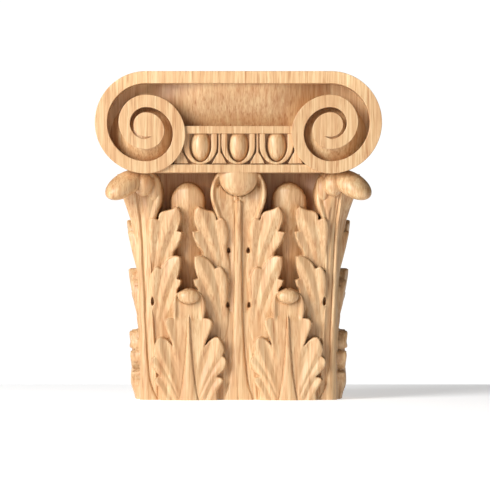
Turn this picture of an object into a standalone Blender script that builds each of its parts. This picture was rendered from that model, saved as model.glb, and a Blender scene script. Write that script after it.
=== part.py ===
"""Carved wooden pilaster capital: scrolls and egg-and-dart above two tiers of acanthus leaves.

One solid, in metres, +Z up. The origin is the middle of the footprint on the underside, the
carved front looks along -Y and the plain back lies flat on the +Y side.
"""

import math

import bpy
import bmesh
from mathutils import Matrix, Vector
from mathutils.geometry import delaunay_2d_cdt

MM = 0.001

# Overall block
HEIGHT = 230 * MM
SPARE = 4 * MM
HALF_WIDTH = 100 * MM
DEPTH = 82 * MM
FRONT = -DEPTH / 2
BACK = DEPTH / 2

# Bell behind the leaves, and the body the leaves make at the foot
BELL_HALF_WIDTH = 61 * MM
BELL_FRONT = FRONT + 33 * MM
BODY_HALF_WIDTH = 68 * MM
BODY_FRONT = FRONT + 24 * MM
LEAF_LEAN = 5.5 * MM
LEAN_START = 62 * MM

# Flat band over the scrolls and the sunk panel behind it
BAND = 8.5 * MM
PANEL_FRONT = FRONT + 16 * MM
SHALLOW_FRONT = FRONT + 6 * MM
PANEL_SLOPE = 11 * MM
PANEL_HALF_WIDTH = 58 * MM
PANEL_CREST_HALF = 26 * MM

# Scroll: half circles of falling radius, each joined to the next on one upright line
SCROLL_RADII = (35.6 * MM, 27.4 * MM, 19.0 * MM, 12.9 * MM, 8.6 * MM)
SCROLL_X = HALF_WIDTH - SCROLL_RADII[0]
GROOVE_RADII = (27.1 * MM, 18.8 * MM, 11.1 * MM)
ARC_STEPS = 14
BOLSTER_COLLAR = 4 * MM
BOLSTER_WAIST = 4.5 * MM
BOLSTER_STEP = 2 * MM
BOLSTER_BELT = 9 * MM

# Egg-and-dart between two fillets
FRIEZE_HALF_WIDTH = 46.5 * MM
TOP_FILLET_Z = 186.5 * MM
TOP_FILLET_TALL = 5.3 * MM
LOW_FILLET_Z = 159.4 * MM
LOW_FILLET_TALL = 5.6 * MM
FILLET_FRONT = FRONT + 2.5 * MM
FRIEZE_FRONT = FRONT + 9 * MM
EGG_PITCH = 26.5 * MM
EGG_HALF_WIDTH = 6.8 * MM
EGG_FOOT_Z = 167 * MM
EGG_CENTRE_Z = 178 * MM
RIM_HALF_WIDTH = 11.7 * MM
RIM_WALL = 3.6 * MM
RIM_FRONT = FRONT + 3.8 * MM
DART_HALF_WIDTH = 1.2 * MM
DART_HEAD_HALF = 2.6 * MM
DART_HEAD_TALL = 7 * MM

# Plain water leaves behind the carved ones
WATER_X = 35.5 * MM
WATER_HALF_WIDTH = 11.6 * MM
WATER_TOP = 152.6 * MM
WATER_FRONT = FRONT + 20 * MM
WATER_DROP = 80 * MM

# Tall leaves: two tiers of lobes a fixed step apart, a midrib and a rolled head
TIER_Z = 100 * MM
TIER_STEP = 34.6 * MM
UPPER_LIFT = 9.6 * MM
MIDDLE_LIFT = 8.2 * MM
SHEET_LOW = 0.6 * MM
RIDGE = 1.5 * MM
# Outlines of one side of the foliage, in millimetres: out from the midrib, up from the foot
UPPER_SPRAY = ((8.3, 106), (7.3, 116), (8.6, 124.3), (12.0, 127.9), (15.3, 126.5), (18.1, 132.3),
               (28, 135.7), (31, 129.7), (28.3, 118.7), (32.3, 117.9), (30.5, 111), (25.6, 103.4),
               (25, 88), (14, 80), (7, 92))
UPPER_RIDGES = (((9.5, 98), (9.6, 118)), ((14, 96), (19, 114), (25, 129)), ((17, 92), (23, 104), (29, 114)))
MIDDLE_SPRAY = ((7.9, 68.3), (7.6, 82), (9.3, 89.6), (12.5, 93.5), (16.4, 92.4), (18.6, 96), (23, 100),
                (30.6, 100.6), (30.8, 93), (28.1, 85.3), (31.5, 84.3), (28.5, 77.5), (27, 60), (14, 44),
                (7, 54))
TALL_TRUNK = ((-0.5, 160.5), (13.5, 160.5), (17.5, 155), (19.4, 146), (18.6, 138), (15.9, 130.5),
              (12.5, 120), (11, 104), (10.5, 70), (13, 30), (17, -3), (-0.5, -3), (-0.5, 70), (-0.5, 104),
              (-0.5, 130))
MIDDLE_RIDGES = (((9.6, 62), (9.8, 84)), ((14, 58), (19, 78), (26, 95)), ((17, 56), (23, 70), (29, 81)))
RIM_LOW_OUT = 8.5 * MM
RIM_HIGH_OUT = 14.5 * MM
RIB_HALF = 2.4 * MM
RIB_FOOT_HALF = 10.4 * MM
RIB_FLARE_Z = 42 * MM
HEAD_HALF_WIDTH = 13.6 * MM
HEAD_Z = 151 * MM
HEAD_HALF_TALL = 8.3 * MM
HEAD_FRONT = FRONT + 3.4 * MM
EYE_OUT = 6.9 * MM
EYE_UP = 4.4 * MM
EYE_RADIUS = 1.7 * MM
EYE_DEEP = 4.5 * MM

# Corner leaves stand on the diagonal, lean out with height and roll over under the scrolls
CORNER_SHRINK = 0.92
CORNER_DEEP = 13.5 * MM
CORNER_RISE = 6.5 * MM
CORNER_KICK = 10 * MM
CORNER_KICK_Z = 115 * MM
CORNER_BACK_SHARE = 0.4
ROLL = (18 * MM, 10.5 * MM, 9 * MM)
ROLL_OUT = 9.4 * MM
ROLL_Z = 150.5 * MM
ROLL_DROOP = 20
# Scallops beside the roll: out from the corner, across from the diagonal, height, half sizes
SCALLOPS = ((3.5 * MM, 5.0 * MM, 151 * MM, (7.0 * MM, 7.0 * MM, 8.2 * MM)),
            (-1.2 * MM, 7.3 * MM, 150.5 * MM, (6.2 * MM, 6.2 * MM, 9.5 * MM)))

# Lower leaves between the tall ones
LOW_X = 34.8 * MM
LOW_CURL_Z = 72.6 * MM
LOW_CURL = (11.6 * MM, 7.0 * MM, 4.8 * MM)
LOW_CURL_FRONT = FRONT + 10 * MM
LOW_SIDE_CURL_PROUD = 5.0 * MM
LOW_LEVEL = 5.4 * MM
LOW_LIFT = 5.0 * MM
LOWER_LEAF = ((0, 77), (8.6, 74.4), (11.4, 67), (10.7, 57.9), (16.6, 56), (15.5, 49.5), (11.3, 38.3),
              (14.8, 42.1), (19.5, 44.5), (24.1, 38.3), (23.7, 31.2), (26.3, 27), (19.7, 16.6), (24.1, 14.5),
              (20.5, 7), (18.8, -3), (0, -3))
LOWER_RIDGES = (((5, 32), (12.5, 52)), ((5, 12), (12, 28), (19, 41)), ((7, 2), (15, 16), (23.5, 27)),
                ((10, -1), (21.5, 13)))


def collection(name):
    group = bpy.data.collections.new(name)
    bpy.context.scene.collection.children.link(group)
    return group


for old in list(bpy.data.objects):
    bpy.data.objects.remove(old, do_unlink=True)

CAPITAL = collection("pilaster_capital")
CUTTERS = collection("cutters")
CUTTERS.hide_render = True


def adopt(name, mesh, cutter=False):
    body = bpy.data.objects.new(name, mesh)
    (CUTTERS if cutter else CAPITAL).objects.link(body)
    if cutter:
        body.display_type = "WIRE"
    return body


def from_bmesh(name, shape, cutter=False):
    mesh = bpy.data.meshes.new(name)
    bmesh.ops.recalc_face_normals(shape, faces=shape.faces)
    shape.to_mesh(mesh)
    shape.free()
    return adopt(name, mesh, cutter)


def block(name, low, high, cutter=False):
    """Box between two opposite corners."""
    shape = bmesh.new()
    bmesh.ops.create_cube(shape, size=1.0)
    low, high = Vector(low), Vector(high)
    size = high - low
    move = Matrix.Translation((low + high) / 2) @ Matrix.Diagonal((*size, 1.0))
    bmesh.ops.transform(shape, matrix=move, verts=shape.verts)
    return from_bmesh(name, shape, cutter)


def ellipsoid(name, centre, half, turn=None, segments=6, rings=4):
    """Ball stretched to three half lengths, its poles along its own X, then turned."""
    shape = bmesh.new()
    bmesh.ops.create_uvsphere(shape, u_segments=segments, v_segments=rings, radius=1.0)
    lay = Matrix.Rotation(math.pi / 2, 4, "Y")
    move = Matrix.Translation(centre) @ (turn or Matrix.Identity(4)) @ Matrix.Diagonal((*half, 1.0)) @ lay
    bmesh.ops.transform(shape, matrix=move, verts=shape.verts)
    return from_bmesh(name, shape)


def rod(name, start, end, start_radius, end_radius, sides=8, cutter=False):
    """Straight round bar that may taper."""
    start, end = Vector(start), Vector(end)
    along = end - start
    shape = bmesh.new()
    bmesh.ops.create_cone(shape, cap_ends=True, segments=sides, radius1=start_radius,
                          radius2=end_radius, depth=along.length)
    turn = along.to_track_quat("Z", "Y").to_matrix().to_4x4()
    bmesh.ops.transform(shape, matrix=Matrix.Translation((start + end) / 2) @ turn, verts=shape.verts)
    return from_bmesh(name, shape, cutter)


def plate(name, outline, front, back, cutter=False):
    """Closed outline in the XZ plane, given depth from front to back along Y."""
    curve = bpy.data.curves.new(name, "CURVE")
    curve.dimensions = "2D"
    curve.fill_mode = "BOTH"
    curve.extrude = (back - front) / 2
    line = curve.splines.new("POLY")
    line.points.add(len(outline) - 1)
    for point, (x, z) in zip(line.points, outline):
        point.co = (x, z, 0.0, 1.0)
    line.use_cyclic_u = True
    holder = bpy.data.objects.new(name, curve)
    bpy.context.scene.collection.objects.link(holder)
    bpy.context.view_layer.update()
    seen = holder.evaluated_get(bpy.context.evaluated_depsgraph_get())
    mesh = bpy.data.meshes.new_from_object(seen)
    bpy.data.objects.remove(holder, do_unlink=True)
    shape = bmesh.new()
    shape.from_mesh(mesh)
    bmesh.ops.remove_doubles(shape, verts=shape.verts, dist=1e-6)
    stand = Matrix.Translation((0, (front + back) / 2, 0)) @ Matrix.Rotation(math.pi / 2, 4, "X")
    bmesh.ops.transform(shape, matrix=stand, verts=shape.verts)
    return from_bmesh(name, shape, cutter)


def lathe(name, profile, centre_x, centre_z, steps=24):
    """Profile of (y, radius) turned about a line parallel to Y."""
    shape = bmesh.new()
    points = [(profile[0][0], 0.0), *profile, (profile[-1][0], 0.0)]
    verts = [shape.verts.new((0.0, y, r)) for y, r in points]
    edges = [shape.edges.new(pair) for pair in zip(verts, verts[1:])]
    bmesh.ops.spin(shape, geom=[*verts, *edges], cent=(0, 0, 0), axis=(0, 1, 0),
                   angle=2 * math.pi, steps=steps, use_merge=True)
    bmesh.ops.remove_doubles(shape, verts=shape.verts, dist=1e-6)
    bmesh.ops.translate(shape, verts=shape.verts, vec=(centre_x, 0, centre_z))
    return from_bmesh(name, shape)


def arc(centre, radius, start, end, steps):
    """Points on a circle, angles in degrees from +X towards +Z, the first point left out."""
    turn = (end - start) / steps
    angles = [math.radians(start + turn * (step + 1)) for step in range(steps)]
    return [(centre[0] + radius * math.cos(a), centre[1] + radius * math.sin(a)) for a in angles]


def spiral(x, top, radii):
    """Half circles that start at the top, run out over -X, then back and forth to the middle."""
    points = [(x, top)]
    for count, radius in enumerate(radii):
        downward = count % 2 == 0
        centre = (x, top - radius if downward else top + radius)
        start, end = (90, 270) if downward else (-90, 90)
        points += arc(centre, radius, start, end, max(5, ARC_STEPS - 2 * count))
        top = top - 2 * radius if downward else top + 2 * radius
    return points


def lean(z):
    """How far the leaf wall stands out from its foot at a height."""
    share = max(0.0, z - LEAN_START) / (HEAD_Z - LEAN_START)
    return LEAF_LEAN * share ** 2


def volume_of(mesh):
    """Volume inside a mesh, or nothing where it is empty or has an open edge."""
    shape = bmesh.new()
    shape.from_mesh(mesh)
    sound = bool(shape.faces) and all(edge.is_manifold for edge in shape.edges)
    volume = shape.calc_volume() if sound else None
    shape.free()
    return volume


def join(target, other, operation="UNION"):
    """Boolean with the exact solver, or the manifold one where that one loses its way.

    A union is sound when it is closed and no smaller than before, a cut when it is closed and no larger.
    """
    before = volume_of(target.data)
    for solver in ("EXACT", "MANIFOLD"):
        step = target.modifiers.new("join", "BOOLEAN")
        step.operation = operation
        step.solver = solver
        step.object = other
        bpy.context.view_layer.update()
        seen = target.evaluated_get(bpy.context.evaluated_depsgraph_get())
        mesh = bpy.data.meshes.new_from_object(seen)
        target.modifiers.clear()
        after = volume_of(mesh)
        if after and (after > before * 0.9999 if operation == "UNION" else after < before * 1.0001):
            break
    target.data = mesh
    if operation == "UNION":
        bpy.data.objects.remove(other, do_unlink=True)


def mirrored(source, matrix):
    """Copy of a solid reflected or moved by a matrix, faces still looking out."""
    shape = bmesh.new()
    shape.from_mesh(source.data)
    bmesh.ops.transform(shape, matrix=matrix, verts=shape.verts)
    cutter = source.name in CUTTERS.objects
    return from_bmesh(source.name, shape, cutter)


FLIP_X = Matrix.Diagonal((-1, 1, 1, 1))
# Reflection that swaps the front face and the -X side about the diagonal of the corner
CORNER = Matrix((
    (0, 1, 0, -BODY_HALF_WIDTH - BODY_FRONT),
    (1, 0, 0, BODY_FRONT + BODY_HALF_WIDTH),
    (0, 0, 1, 0),
    (0, 0, 0, 1),
))


def sheet(name, outline, ridges, level, side=1, x=0.0, shrink=1.0):
    """Carved leaf sheet standing on the bell: an outline with raised ridge lines across its face."""
    flat = [Vector((out * MM, up * MM)) for out, up in outline]
    edges = [(step, (step + 1) % len(flat)) for step in range(len(flat))]
    crests = set()
    for line in ridges:
        first = len(flat)
        flat += [Vector((out * MM, up * MM)) for out, up in line]
        edges += [(first + step, first + step + 1) for step in range(len(line) - 1)]
        crests.update(range(first, len(flat)))
    points, _, faces, origin, _, _ = delaunay_2d_cdt(flat, edges, [], 1, 1e-7)
    rim = len(outline)
    shape = bmesh.new()
    front = []
    for point, source in zip(points, origin):
        high = level(point.x, point.y) + (RIDGE if crests & set(source) else 0.0)
        front.append(shape.verts.new((x + side * shrink * point.x, BODY_FRONT - high, point.y)))
    back = [shape.verts.new((front[step].co.x, BELL_FRONT + 2 * MM, front[step].co.z)) for step in range(rim)]
    for face in faces:
        shape.faces.new([front[step] for step in face])
    for step in range(rim):
        after = (step + 1) % rim
        shape.faces.new((front[step], front[after], back[after]))
        shape.faces.new((front[step], back[after], back[step]))
    shape.faces.new(back)
    return from_bmesh(name, shape)


def climb(z, low, high):
    share = min(1.0, max(0.0, (z - low * MM) / ((high - low) * MM)))
    return share * share * (3 - 2 * share)


def upper_level(out, z):
    return SHEET_LOW + UPPER_LIFT * climb(z, 88, 134) * (0.42 + 0.58 * out / (28 * MM))


def middle_level(out, z):
    return SHEET_LOW + MIDDLE_LIFT * climb(z, 52, 100) * (0.42 + 0.58 * out / (28 * MM))


def lower_level(out, z):
    crown = 1.6 * MM * (1 - min(1.0, out / (16 * MM)) ** 2)
    return LOW_LEVEL + LOW_LIFT * climb(z, 20, 76) + crown + 1.6 * MM * climb(out, 9, 24)


def trunk_level(out, z):
    scoop = 4.2 * MM * climb(z, 104, 134) * (out / (18.5 * MM)) ** 2
    return lean(z) + 1.2 * MM + scoop


def tall_half(x, side, shrink=1.0):
    """Foliage on one side of a tall leaf, the upper spray and the one below it."""
    return [sheet("upper_spray", UPPER_SPRAY, UPPER_RIDGES, upper_level, side, x, shrink),
            sheet("middle_spray", MIDDLE_SPRAY, MIDDLE_RIDGES, middle_level, side, x, shrink)]


def tall_rim(x, side):
    """Raised edge of a tall leaf's trunk, from beside the midrib up to the head."""
    low = (x + side * RIM_LOW_OUT, BODY_FRONT + 0.5 * MM, TIER_Z - 1.5 * TIER_STEP)
    high = (x + side * RIM_HIGH_OUT, BODY_FRONT - lean(HEAD_Z) - 1 * MM, HEAD_Z - 4 * MM)
    return rod("tall_rim", low, high, 2.4 * MM, 4.4 * MM, 6)


def low_leaf(x):
    """Lower leaf: its two halves and a midrib that widens to the foot."""
    parts = [sheet("lower_leaf", LOWER_LEAF, LOWER_RIDGES, lower_level, side, x) for side in (-1, 1)]
    foot = (x, BODY_FRONT - LOW_LEVEL + 1 * MM, -2 * MM)
    tip = (x, BODY_FRONT - LOW_LEVEL - LOW_LIFT * 0.5, LOW_CURL_Z - 14 * MM)
    parts.append(rod("low_rib", foot, tip, 4.4 * MM, 1.0 * MM, 6))
    return parts


def capsule(name, centre, half, drop, segments=8, rings=6):
    """Upright rounded post: a stretched ball whose lower half is drawn down."""
    shape = bmesh.new()
    bmesh.ops.create_uvsphere(shape, u_segments=segments, v_segments=rings, radius=1.0)
    bmesh.ops.transform(shape, matrix=Matrix.Diagonal((*half, 1.0)), verts=shape.verts)
    low = [vert for vert in shape.verts if vert.co.z < -1e-6]
    bmesh.ops.translate(shape, verts=low, vec=(0, 0, -drop))
    bmesh.ops.translate(shape, verts=shape.verts, vec=centre)
    return from_bmesh(name, shape)


def plain_bell():
    """Bell block, with the front corners taken off, up to the underside of the band."""
    cut = 6 * MM
    w, front = BELL_HALF_WIDTH, BELL_FRONT
    outline = [(-w, -BACK - SPARE), (w, -BACK - SPARE), (w, -front - cut), (w - cut, -front),
               (-w + cut, -front), (-w, -front - cut)]
    bell = plate("capital", outline, 0, HEIGHT - BAND)
    shape = bmesh.new()
    shape.from_mesh(bell.data)
    turn = Matrix.Rotation(math.pi / 2, 4, "X")
    bmesh.ops.transform(shape, matrix=turn, verts=shape.verts)
    lift = -min(vert.co.z for vert in shape.verts)
    bmesh.ops.translate(shape, verts=shape.verts, vec=(0, 0, lift))
    bmesh.ops.recalc_face_normals(shape, faces=shape.faces)
    shape.to_mesh(bell.data)
    shape.free()
    return bell


capital = plain_bell()
middle = []
left = []
cuts = []

# Block behind the band, the panel and the frieze
middle.append(block("upper", (-SCROLL_X, PANEL_FRONT, LOW_FILLET_Z), (SCROLL_X, BACK + SPARE, HEIGHT)))

# The panel rises towards the band, most in the middle
rise = block("panel_slope", (-PANEL_HALF_WIDTH, PANEL_FRONT - PANEL_SLOPE, TOP_FILLET_Z),
             (PANEL_HALF_WIDTH, PANEL_FRONT + MM, HEIGHT - BAND / 2))
for vert in rise.data.vertices:
    if vert.co.y < PANEL_FRONT and vert.co.z < HEIGHT - BAND:
        vert.co.y = PANEL_FRONT + 0.2 * MM
    elif vert.co.y < PANEL_FRONT:
        vert.co.x *= PANEL_CREST_HALF / PANEL_HALF_WIDTH
middle.append(rise)

# Scroll face with its sunk groove, left half of the band included
outer = spiral(-SCROLL_X, HEIGHT, SCROLL_RADII)
inner = spiral(-SCROLL_X, HEIGHT - BAND, GROOVE_RADII)
tip = [(-SCROLL_X + 4.2 * MM, inner[-1][1] + 1.8 * MM)]
overlap = 0.5 * MM
scroll = [(overlap, HEIGHT), *outer, *tip, *reversed(inner), (overlap, HEIGHT - BAND)]
left.append(plate("scroll", scroll, FRONT, PANEL_FRONT + MM))

scroll_z = HEIGHT - SCROLL_RADII[0]
big = SCROLL_RADII[0]
left.append(rod("shallow", (-SCROLL_X, SHALLOW_FRONT, scroll_z), (-SCROLL_X, PANEL_FRONT + MM, scroll_z),
                SCROLL_RADII[2] - MM, SCROLL_RADII[2] - MM, 24))

# Bolster behind the scroll: a drum with a collar in front, a waist and a plain belt
neck = PANEL_FRONT + BOLSTER_COLLAR
mid = (neck + BACK) / 2
rim = big - 0.5 * MM
waist = big - BOLSTER_STEP - BOLSTER_WAIST
half_way = (neck + mid - BOLSTER_BELT / 2) / 2
profile = [(PANEL_FRONT, rim), (neck, rim), (neck, big - BOLSTER_STEP), (half_way, waist + 1.2 * MM),
           (mid - BOLSTER_BELT / 2, waist), (mid - BOLSTER_BELT / 2, waist + BOLSTER_STEP)]
profile += [(2 * mid - y, r) for y, r in reversed(profile[2:])] + [(BACK + SPARE, big - BOLSTER_STEP)]
left.append(lathe("bolster", profile, -SCROLL_X, scroll_z))

# Frieze ground and its fillets
middle.append(block("frieze", (-FRIEZE_HALF_WIDTH, FRIEZE_FRONT, LOW_FILLET_Z),
                    (FRIEZE_HALF_WIDTH, PANEL_FRONT + MM, TOP_FILLET_Z + MM)))
for foot, tall in ((TOP_FILLET_Z, TOP_FILLET_TALL), (LOW_FILLET_Z, LOW_FILLET_TALL)):
    middle.append(block("fillet", (-FRIEZE_HALF_WIDTH, FILLET_FRONT, foot),
                        (FRIEZE_HALF_WIDTH, PANEL_FRONT + MM, foot + tall)))

# Eggs in their rims, with darts between
rim_foot = LOW_FILLET_Z + LOW_FILLET_TALL - 0.3 * MM
rim_round = RIM_HALF_WIDTH * 1.15
for count in (-1, 0, 1):
    x = count * EGG_PITCH
    half_tall = EGG_CENTRE_Z - EGG_FOOT_Z
    middle.append(ellipsoid("egg", (x, FRIEZE_FRONT, EGG_CENTRE_Z),
                            (EGG_HALF_WIDTH, FRIEZE_FRONT - FILLET_FRONT, half_tall), None, 10, 6))
    outline = []
    for half, foot in ((RIM_HALF_WIDTH, rim_foot), (RIM_HALF_WIDTH - RIM_WALL, rim_foot + RIM_WALL)):
        turn = [(x + half * math.cos(a), foot + rim_round + rim_round * math.sin(a))
                for a in [math.radians(180 + 180 * step / 7) for step in range(8)]]
        leg = [(x - half, TOP_FILLET_Z + MM), *turn, (x + half, TOP_FILLET_Z + MM)]
        outline += leg if not outline else reversed(leg)
    middle.append(plate("rim", outline, RIM_FRONT, FRIEZE_FRONT + MM))
for count in (-1.5, -0.5, 0.5, 1.5):
    x = count * EGG_PITCH
    head = rim_foot + DART_HEAD_TALL
    half_dart = [(DART_HALF_WIDTH, TOP_FILLET_Z + MM), (DART_HALF_WIDTH, head), (DART_HEAD_HALF, head)]
    outline = [(x - half, z) for half, z in half_dart] + [(x, rim_foot - MM)]
    outline += [(x + half, z) for half, z in reversed(half_dart)]
    middle.append(plate("dart", outline, RIM_FRONT - 0.4 * MM, FRIEZE_FRONT + MM))

# Water leaf on the front, left of the middle
half_deep = BELL_FRONT - WATER_FRONT
water_round = 14 * MM
water_half = (WATER_HALF_WIDTH, half_deep, water_round)
left.append(capsule("water", (-WATER_X, BELL_FRONT, WATER_TOP - water_round), water_half, WATER_DROP))

# Tall middle leaf
middle += tall_half(0.0, -1) + tall_half(0.0, 1) + [tall_rim(0.0, -1), tall_rim(0.0, 1)]
for side in (-1, 1):
    middle.append(sheet("tall_trunk", TALL_TRUNK, (), trunk_level, side))
rib_top = (0, BODY_FRONT - lean(HEAD_Z) - 3 * MM, HEAD_Z - 8 * MM)
middle.append(rod("tall_rib", (0, BODY_FRONT - 1.5 * MM, RIB_FLARE_Z - 4 * MM), rib_top,
                  RIB_HALF * 1.3, RIB_HALF * 1.2, 6))
middle.append(rod("tall_foot", (0, BODY_FRONT, -1 * MM), (0, BODY_FRONT - 1.5 * MM, RIB_FLARE_Z),
                  RIB_FOOT_HALF * 0.6, RIB_HALF * 1.3, 6))
head_deep = 11 * MM
middle.append(ellipsoid("tall_head", (0, HEAD_FRONT + head_deep, HEAD_Z),
                        (HEAD_HALF_WIDTH, head_deep, HEAD_HALF_TALL), None, 12, 8))

# Lower leaf on the front, left of the middle
left += low_leaf(-LOW_X)
left.append(ellipsoid("low_curl", (-LOW_X, LOW_CURL_FRONT + LOW_CURL[1], LOW_CURL_Z), LOW_CURL, None, 10, 6))

# Corner leaf: lobes on the front face, the same reflected on to the side, then rib, head and roll
corner_x = -BODY_HALF_WIDTH
front_half = tall_half(corner_x, 1, CORNER_SHRINK) + [tall_rim(corner_x, 1)]
left += [mirrored(part, CORNER) for part in front_half]
left += front_half


def on_diagonal(out, z):
    return Vector((corner_x - out, BODY_FRONT - out, z))


def corner_lean(z):
    """How far the corner edge stands out from its foot, in X and in Y alike."""
    kick = max(0.0, z - CORNER_KICK_Z) / (HEAD_Z - CORNER_KICK_Z)
    return CORNER_RISE * z / HEAD_Z + CORNER_KICK * kick ** 2


foot_back = CORNER_DEEP - BODY_HALF_WIDTH
post = block("corner_post", (corner_x, BODY_FRONT, -SPARE),
             (foot_back, BODY_FRONT + CORNER_DEEP, HEAD_Z + MM))
shape = bmesh.new()
shape.from_mesh(post.data)
for share in (0.0, 0.3, 0.55, 0.8):
    level = CORNER_KICK_Z + share * (HEAD_Z - CORNER_KICK_Z)
    bmesh.ops.bisect_plane(shape, geom=[*shape.verts, *shape.edges, *shape.faces],
                           plane_co=(0, 0, level), plane_no=(0, 0, 1))
for vert in shape.verts:
    out_x = vert.co.x < foot_back - MM
    out_y = vert.co.y < BODY_FRONT + MM
    reach = corner_lean(max(0.0, vert.co.z)) * (1.0 if out_x and out_y else CORNER_BACK_SHARE)
    vert.co.x -= reach if out_x else 0.0
    vert.co.y -= reach if out_y else 0.0
shape.to_mesh(post.data)
shape.free()
left.append(post)
rib_out = corner_lean(CORNER_KICK_Z) - 1.8 * MM
left.append(rod("corner_rib", on_diagonal(-2 * MM, -1 * MM), on_diagonal(rib_out, CORNER_KICK_Z + 8 * MM),
                3.6 * MM, 3.2 * MM, 8))
outward = Matrix.Rotation(math.radians(225), 4, "Z")
droop = Matrix.Rotation(math.radians(ROLL_DROOP), 4, "Y")
left.append(ellipsoid("corner_roll", on_diagonal(ROLL_OUT, ROLL_Z), ROLL, outward @ droop, 16, 12))
for out, across, z, half in SCALLOPS:
    for side in (-1, 1):
        place = on_diagonal(out, z) + Vector((side * across, -side * across, 0))
        left.append(ellipsoid("corner_scallop", place, half, outward, 10, 7))

# Side face: a lower leaf, a water leaf and the near lobes of the next tall leaf, cut off by the wall
side_low = low_leaf(-LOW_X)
side_low.append(ellipsoid("side_curl", (-LOW_X, BODY_FRONT - LOW_SIDE_CURL_PROUD + LOW_CURL[1], LOW_CURL_Z),
                          LOW_CURL, None, 10, 6))
side_low.append(capsule("side_water", (-WATER_X, BELL_FRONT, WATER_TOP - water_round), water_half,
                        WATER_DROP))
side_low += tall_half(0.0, -1)
left += [mirrored(part, CORNER) for part in side_low]
for part in side_low:
    bpy.data.objects.remove(part, do_unlink=True)

# Drill eyes beside the midribs
for tier in range(2):
    z = TIER_Z - tier * TIER_STEP + EYE_UP
    for x in (-EYE_OUT, EYE_OUT, corner_x + 1.9 * EYE_OUT):
        deep = BODY_FRONT + EYE_DEEP
        cuts.append(rod("eye", (x, deep, z - MM), (x, FRONT, z + MM), EYE_RADIUS, EYE_RADIUS, 6, True))
cuts += [mirrored(cut, FLIP_X) for cut in cuts if cut.data.vertices[0].co.x < -20 * MM]

for part in left:
    middle.append(mirrored(part, FLIP_X))
for part in [*left, *middle]:
    join(capital, part)

# Flat underside and back
reach = 0.2
cuts.append(block("limit", (-reach, -reach, -reach), (reach, reach, 0.0), True))
cuts.append(block("limit", (-reach, BACK, -reach), (reach, reach, reach * 2), True))
for cut in cuts:
    join(capital, cut, "DIFFERENCE")

for reach in (0.08 * MM, 0.04 * MM, 0.02 * MM, 0.0):
    shape = bmesh.new()
    shape.from_mesh(capital.data)
    if reach:
        bmesh.ops.remove_doubles(shape, verts=shape.verts, dist=reach)
    bmesh.ops.triangulate(shape, faces=shape.faces)
    sound = all(edge.is_manifold for edge in shape.edges)
    if sound or not reach:
        shape.to_mesh(capital.data)
    shape.free()
    if sound:
        break
capital.data.set_sharp_from_angle(angle=math.radians(38))

wood = bpy.data.materials.new("carved_wood")
wood.use_nodes = True
finish = wood.node_tree.nodes["Principled BSDF"]
finish.inputs["Base Color"].default_value = (0.73, 0.46, 0.24, 1.0)
finish.inputs["Roughness"].default_value = 0.55
capital.data.materials.clear()
capital.data.materials.append(wood)
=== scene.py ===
"""Look of the carved wooden pilaster capital: the full carving, in one frame with the solid model."""

import math

import bpy
import numpy as np
from mathutils import Matrix, Vector


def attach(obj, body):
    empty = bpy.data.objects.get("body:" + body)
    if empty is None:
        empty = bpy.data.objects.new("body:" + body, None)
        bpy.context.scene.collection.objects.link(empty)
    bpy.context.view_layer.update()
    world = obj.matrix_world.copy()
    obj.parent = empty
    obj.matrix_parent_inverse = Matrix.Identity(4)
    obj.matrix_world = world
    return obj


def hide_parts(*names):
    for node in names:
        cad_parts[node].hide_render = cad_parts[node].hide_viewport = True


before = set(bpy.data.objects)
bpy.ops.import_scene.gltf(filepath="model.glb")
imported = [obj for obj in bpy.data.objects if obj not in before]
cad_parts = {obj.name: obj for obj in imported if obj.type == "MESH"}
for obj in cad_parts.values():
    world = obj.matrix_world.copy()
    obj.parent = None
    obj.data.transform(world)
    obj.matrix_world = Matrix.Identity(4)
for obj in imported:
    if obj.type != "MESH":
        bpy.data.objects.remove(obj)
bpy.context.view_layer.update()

MM = 0.001
CELL = 0.40
TURN_STEPS = 128
ARC_STEPS_PER_MM = 2.4

# Sizes below are millimetres until a mesh is written
HEIGHT = 230.0
FRONT = -41.0
BACK = 41.0
SIDES = ((-1, "left"), (1, "right"))
SIDE_LIMIT = 99.0
FRONT_LIMIT = FRONT + 0.3

# Body of the leaf zone: half of its girth runs from the middle of the front, round a corner, to the back
BODY_HALF = 68.3
BODY_FRONT = -17.0
ROUND = 5.0
LEAF_TOP = 160.0
FLAT = BODY_HALF - ROUND
CORNER = FLAT + ROUND * math.pi / 4
ARC_END = FLAT + ROUND * math.pi / 2
GIRTH_END = ARC_END + BACK - (BODY_FRONT + ROUND)
# Strips that the girth is drawn in; the one at the corner has finer cells, as a share of the others
STRIPS = (0.0, 34.0, FLAT - 4.0, ARC_END + 6.0, GIRTH_END)
CORNER_STRIP = 2
CORNER_CELL = 0.45
# Plain boxes behind the leaves: a wide foot, and a core set well back
FOOT_BOX = ((-66.0, -15.0, 0.2), (66.0, BACK - 0.5, 55.0))
CORE_BOX = ((-50.0, 8.0, 40.0), (50.0, BACK - 0.5, 200.0))

# Leaves between the middle and the corner, what sits lower or higher on the sides, and a corner's sprays
LOW_X = 34.8
WATER_X = 35.4
SPRAY_DROP = 8.8
LOW_RISE = 4.2
CORNER_SPRAY_SCALE = 0.875
CORNER_SPRAY_SHIFT = 0.4

# Scrolls, band and panel
BAND = 8.5
PANEL = -25.0
PLATE_BACK = PANEL + 1.0
SCROLL_X = 64.4
SCROLL_RADII = (35.6, 27.4, 19.0, 12.9, 8.6)
GROOVE_RADII = (27.1, 18.8, 11.1)
SPIRAL_TIP = (4.2, 1.8)
GROOVE_EYE_Z = 185.3
GROOVE_FLOOR = ((PLATE_BACK, 26.0), (-25.6, 25.0), (-27.0, 21.5), (-30.5, 18.0), (-34.0, 14.5), (-36.4, 11.5),
                (-38.2, 9.0), (-38.8, 0.0))
PANEL_FOOT = 188.0
PANEL_SLOPE = 31.5
PANEL_DEEP = 11.5

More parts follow.
